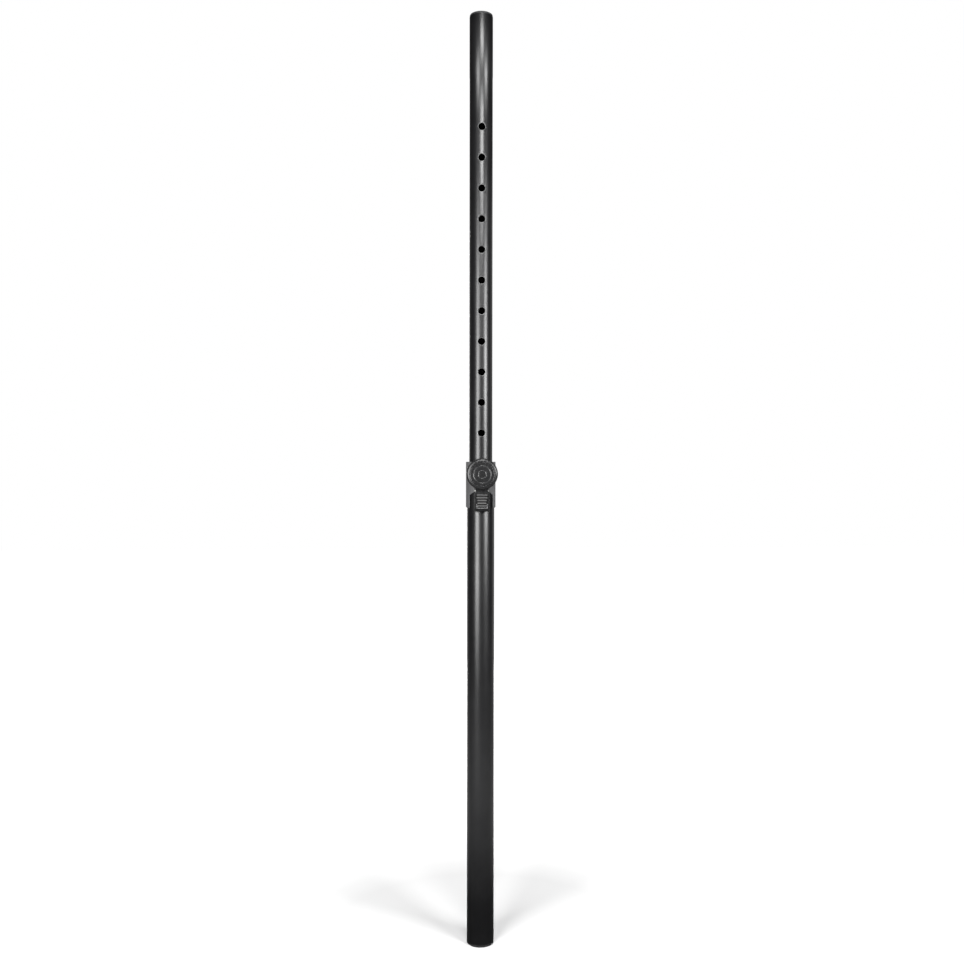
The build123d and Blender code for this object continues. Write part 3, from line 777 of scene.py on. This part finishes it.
def makeLever():
    look = {
        "width": 22.2, "edge": 0.45, "front": 31.4, "back": 26.2, "seam": 0.03, "root": 14.3,
        "rootSet": 0.6, "brow": (0.1, 5.2), "waist": 0.3, "waistTall": 2.5, "belly": 4.5,
        "toe": (0.9, 0.3, 2.0), "hip": 5.0, "hub": 3.4, "neck": 6.4,
        "plate": 22.75, "plateBack": 29.3, "plateFront": 33.5, "plateEdge": 1.0, "backEdge": 0.6,
        "recess": 12.0, "recessFrom": 20.0, "recessFloor": 32.3, "stemSlot": (5.4, 12.0, 8.0),
        "swing": 3.8, "slot": 7.3, "lugRoom": (20.0, 16.6), "lugRise": 2.0, "bore": 1.55,
        "cheek": 9.1, "notch": (8.0, 40.0, 6.0), "notchEdge": 0.7,
        "spread": 33.0, "screwBore": 1.3, "screwHead": 2.6, "screwSunk": 2.2,
        "pocketFloor": 29.2, "pocketRoom": 0.1, "pocketNarrow": 1.2, "pocketDrop": 1.6,
        "pocketShoulder": 6.1, "pocketSlope": 2.0, "draft": (0.5, 0.45),
        "nose": (3.2, 4.8), "rail": 1.7, "slit": 1.5, "slitDeep": 8.0, "slitSide": 0.2,
        "arch": 26.0, "archRise": 1.1,
    }
    front, back, bottom = look["front"], look["back"], boxMm("lock_lever")[0].z
    plateBack, plateFront = look["plateBack"], look["plateFront"]
    hinge, slot = (hingeOut, hingeZ), look["slot"]
    body = leverBody(look, front, back, bottom)
    body = cut(body, toFront(rod(look["recess"], look["recessFrom"], look["recessFloor"], 72), lockZ))
    body = cut(body, block(*look["stemSlot"], (0, -plateFront, lockZ)))
    body = cut(body, across(circle(hinge, look["swing"]), slot))
    deep, tall = look["lugRoom"]
    body = cut(body, block(2 * slot, deep, tall, (0, deep / 2 - hingeOut, hingeZ + look["lugRise"])))
    body = cut(body, across(circle(hinge, look["bore"]), look["width"]))
    for side in (-1, 1):
        notch = block(*look["notch"], (side * (look["cheek"] + look["notch"][0] / 2), -hingeOut, hingeZ))
        body = cut(body, softened(notch, look["notchEdge"], 3))
        seat, behind = side * look["spread"] / 2, plateBack - beyond
        body = cut(body, toFront(rod(look["screwBore"], behind, plateFront + beyond), lockZ, seat))
        sunk = rod(look["screwHead"], behind, plateBack + look["screwSunk"])
        body = cut(body, toFront(sunk, lockZ, seat))
    pocket, pocketHalf, pocketLow = leverPocket(look, front, *boxMm("grip_pad"))
    body = cut(body, pocket)
    noseDeep, noseTall = look["nose"]
    nose = [
        (front + beyond, bottom + noseTall), (front, bottom + noseTall), (front - noseDeep, bottom),
        (front - noseDeep, bottom - beyond), (front + beyond, bottom - beyond),
    ]
    body = cut(body, across(nose, look["width"] / 2 - look["rail"]))
    slit, wide = look["slit"], 2 * (pocketHalf - look["slitSide"])
    body = cut(body, block(wide, look["slitDeep"], slit, (0, -front, pocketLow + slit / 2)))
    arch = rod(look["arch"], back - 2 * beyond, front + 2 * beyond, 96)
    body = cut(body, toFront(arch, bottom - look["arch"] + look["archRise"]))
    return finished(body, "lockLever", leverNylon, "lever", "lock_lever", weighted=True)


def makeCapScrews():
    look = {
        "shank": 1.2, "head": 2.4, "back": 29.7, "seat": 31.4, "tip": 35.3, "spread": 33.0, "crown": 0.15,
        "headSoft": (0.5, 0.1), "tipSoft": 0.4, "cross": (2.8, 0.7), "deep": 0.9,
    }
    shank, head, back, seat, tip = (look[key] for key in ("shank", "head", "back", "seat", "tip"))
    screws = []
    for side in (-1, 1):
        screw = lathe([
            (0, back), (head, back + look["crown"], look["headSoft"][0]), (head, seat, look["headSoft"][1]),
            (shank, seat), (shank, tip, look["tipSoft"]), (0, tip),
        ], 40)
        for wide, long in (look["cross"], look["cross"][::-1]):
            screw = cut(screw, block(wide, long, 2 * look["deep"], (0, 0, back)))
        screws.append(toFront(screw, lockZ, side * look["spread"] / 2))
    return finished(gathered(screws), "capScrews", platedSteel, "lever", "cap_screws")


makeHeadCap()
makeGripPad()
makeLever()
makeCapScrews()
print("lever made")


def makeCamera():
    view = {
        "away": 1.508, "height": 0.7283, "side": 3.5, "turn": 0.072, "down": 1.051, "roll": 0.07,
        "lens": 37.25, "sensor": 36, "nearest": 0.01,
    }
    camera = bpy.data.objects.new("camera", bpy.data.cameras.new("camera"))
    scene.collection.objects.link(camera)
    side = radians(view["side"])
    camera.location = (-view["away"] * sin(side), -view["away"] * cos(side), view["height"])
    heading = Matrix.Rotation(-side - radians(view["turn"]), 4, "Z")
    tilt = Matrix.Rotation(radians(90 - view["down"]), 4, "X")
    roll = Matrix.Rotation(radians(view["roll"]), 4, "Z")
    camera.rotation_euler = (heading @ tilt @ roll).to_euler()
    camera.data.lens = view["lens"]
    camera.data.sensor_width = view["sensor"]
    camera.data.clip_start = view["nearest"]
    scene.camera = camera


def softbox(name, light):
    # a lit panel on an arc round the pole, turned to face it; azimuth 0 is the front, plus is to the right
    lamp = bpy.data.lights.new(name, "AREA")
    lamp.shape = "RECTANGLE"
    lamp.size, lamp.size_y = light["wide"], light["tall"]
    lamp.energy = light["glow"] * pi * light["wide"] * light["tall"]
    thing = bpy.data.objects.new(name, lamp)
    scene.collection.objects.link(thing)
    turn = radians(light["azimuth"])
    place = Vector((sin(turn) * light["away"], -cos(turn) * light["away"], light["height"]))
    aim = Vector((0, 0, light.get("aim", light["height"])))
    thing.location = place
    thing.rotation_euler = (aim - place).to_track_quat("-Z", "Y").to_euler()


def makeLights():
    lights = {
        "softboxLeft": {
            "azimuth": -33, "away": 1.45, "height": 0.86, "wide": 0.7, "tall": 0.98, "glow": 15.5,
        },
        "softboxRight": {"azimuth": 43, "away": 1.45, "height": 1.02, "wide": 0.6, "tall": 0.6, "glow": 24},
        "softboxHigh": {
            "azimuth": 4, "away": 1.2, "height": 1.58, "aim": 1.15, "wide": 0.56, "tall": 0.28, "glow": 31,
        },
        "sideRight": {"azimuth": 128, "away": 1.9, "height": 0.8, "wide": 1.1, "tall": 1.7, "glow": 0.55},
        "sideLeft": {"azimuth": -140, "away": 1.9, "height": 0.8, "wide": 0.8, "tall": 1.7, "glow": 0.28},
        "softboxBack": {"azimuth": 180, "away": 2.2, "height": 0.95, "wide": 0.45, "tall": 1.3, "glow": 12},
    }
    for name, light in lights.items():
        softbox(name, light)


def rangeNode(nodes, values):
    # the numbers are From Min, From Max, To Min and To Max
    node = nodes.new("ShaderNodeMapRange")
    for socket, value in zip(("From Min", "From Max", "To Min", "To Max"), values):
        node.inputs[socket].default_value = value
    return node


def makeBackdrop():
    # white to the camera, nearly black in reflections, a little brighter behind the pole
    look = {"white": 1.0, "reflected": (-0.1, 0.9, 0.006, 0.05)}
    world = bpy.data.worlds.new("studio")
    scene.world = world
    world.use_nodes = True
    nodes, links = world.node_tree.nodes, world.node_tree.links
    background = nodes["Background"]
    path = nodes.new("ShaderNodeLightPath")
    coords = nodes.new("ShaderNodeTexCoord")
    split = nodes.new("ShaderNodeSeparateXYZ")
    fade = rangeNode(nodes, look["reflected"])
    mix = nodes.new("ShaderNodeMix")
    mix.inputs[3].default_value = look["white"]
    links.new(coords.outputs["Generated"], split.inputs["Vector"])
    links.new(split.outputs["Y"], fade.inputs["Value"])
    links.new(path.outputs["Is Camera Ray"], mix.inputs[0])
    links.new(fade.outputs["Result"], mix.inputs[2])
    links.new(mix.outputs[0], background.inputs["Strength"])
    background.inputs["Color"].default_value = (1, 1, 1, 1)


def makeFloor():
    # pale and fading to white with the distance; dim in reflections, as behind a black flag
    look = {
        "size": 14.0, "drop": 0.3, "shade": 0.88, "rough": 0.9, "gloss": 0.1,
        "fading": (0.25, 0.8, 0.0, 1.0), "flagged": (0.15, 0.5, 0.04, 0.46),
    }
    bm = bmesh.new()
    bmesh.ops.create_grid(bm, x_segments=8, y_segments=8, size=look["size"] / 2)
    floor = meshObject(moved(bm, Matrix.Translation((0, 0, -look["drop"] * mm))), "floor")
    pale = bpy.data.materials.new("paleFloor")
    pale.use_nodes = True
    nodes, links = pale.node_tree.nodes, pale.node_tree.links
    shader = nodes["Principled BSDF"]
    shader.inputs["Roughness"].default_value = look["rough"]
    shader.inputs["Specular IOR Level"].default_value = look["gloss"]
    shader.inputs["Emission Color"].default_value = (1, 1, 1, 1)
    path = nodes.new("ShaderNodeLightPath")
    coords = nodes.new("ShaderNodeTexCoord")
    away = nodes.new("ShaderNodeVectorMath")
    away.operation = "LENGTH"
    fade = rangeNode(nodes, look["fading"])
    dim = rangeNode(nodes, look["flagged"])
    shade = nodes.new("ShaderNodeMix")
    shade.data_type = "RGBA"
    shade.inputs[7].default_value = (look["shade"],) * 3 + (1,)
    lift = nodes.new("ShaderNodeMath")
    lift.operation = "MULTIPLY"
    links.new(coords.outputs["Object"], away.inputs[0])
    links.new(away.outputs["Value"], dim.inputs["Value"])
    links.new(dim.outputs["Result"], shade.inputs[6])
    links.new(path.outputs["Is Camera Ray"], shade.inputs[0])
    links.new(shade.outputs[2], shader.inputs["Base Color"])
    links.new(away.outputs["Value"], fade.inputs["Value"])
    links.new(fade.outputs["Result"], lift.inputs[0])
    links.new(path.outputs["Is Camera Ray"], lift.inputs[1])
    links.new(lift.outputs[0], shader.inputs["Emission Strength"])
    floor.data.materials.append(pale)


makeCamera()
makeLights()
makeBackdrop()
makeFloor()
scene.view_settings.view_transform = "Standard"
print("studio made")

cadFinishes = {  # the hidden working parts keep their own shape
    "guide_bush": guideNylon, "stem_bush": guideNylon, "lock_spring": platedSteel, "tube_glide": guideNylon,
    "glide_rivets": rivetBlack, "lock_pin": platedSteel, "cross_pin": platedSteel,
}
for node, material in cadFinishes.items():
    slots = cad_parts[node].material_slots
    for slot in slots:
        slot.material = material
    if not slots:
        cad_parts[node].data.materials.append(material)
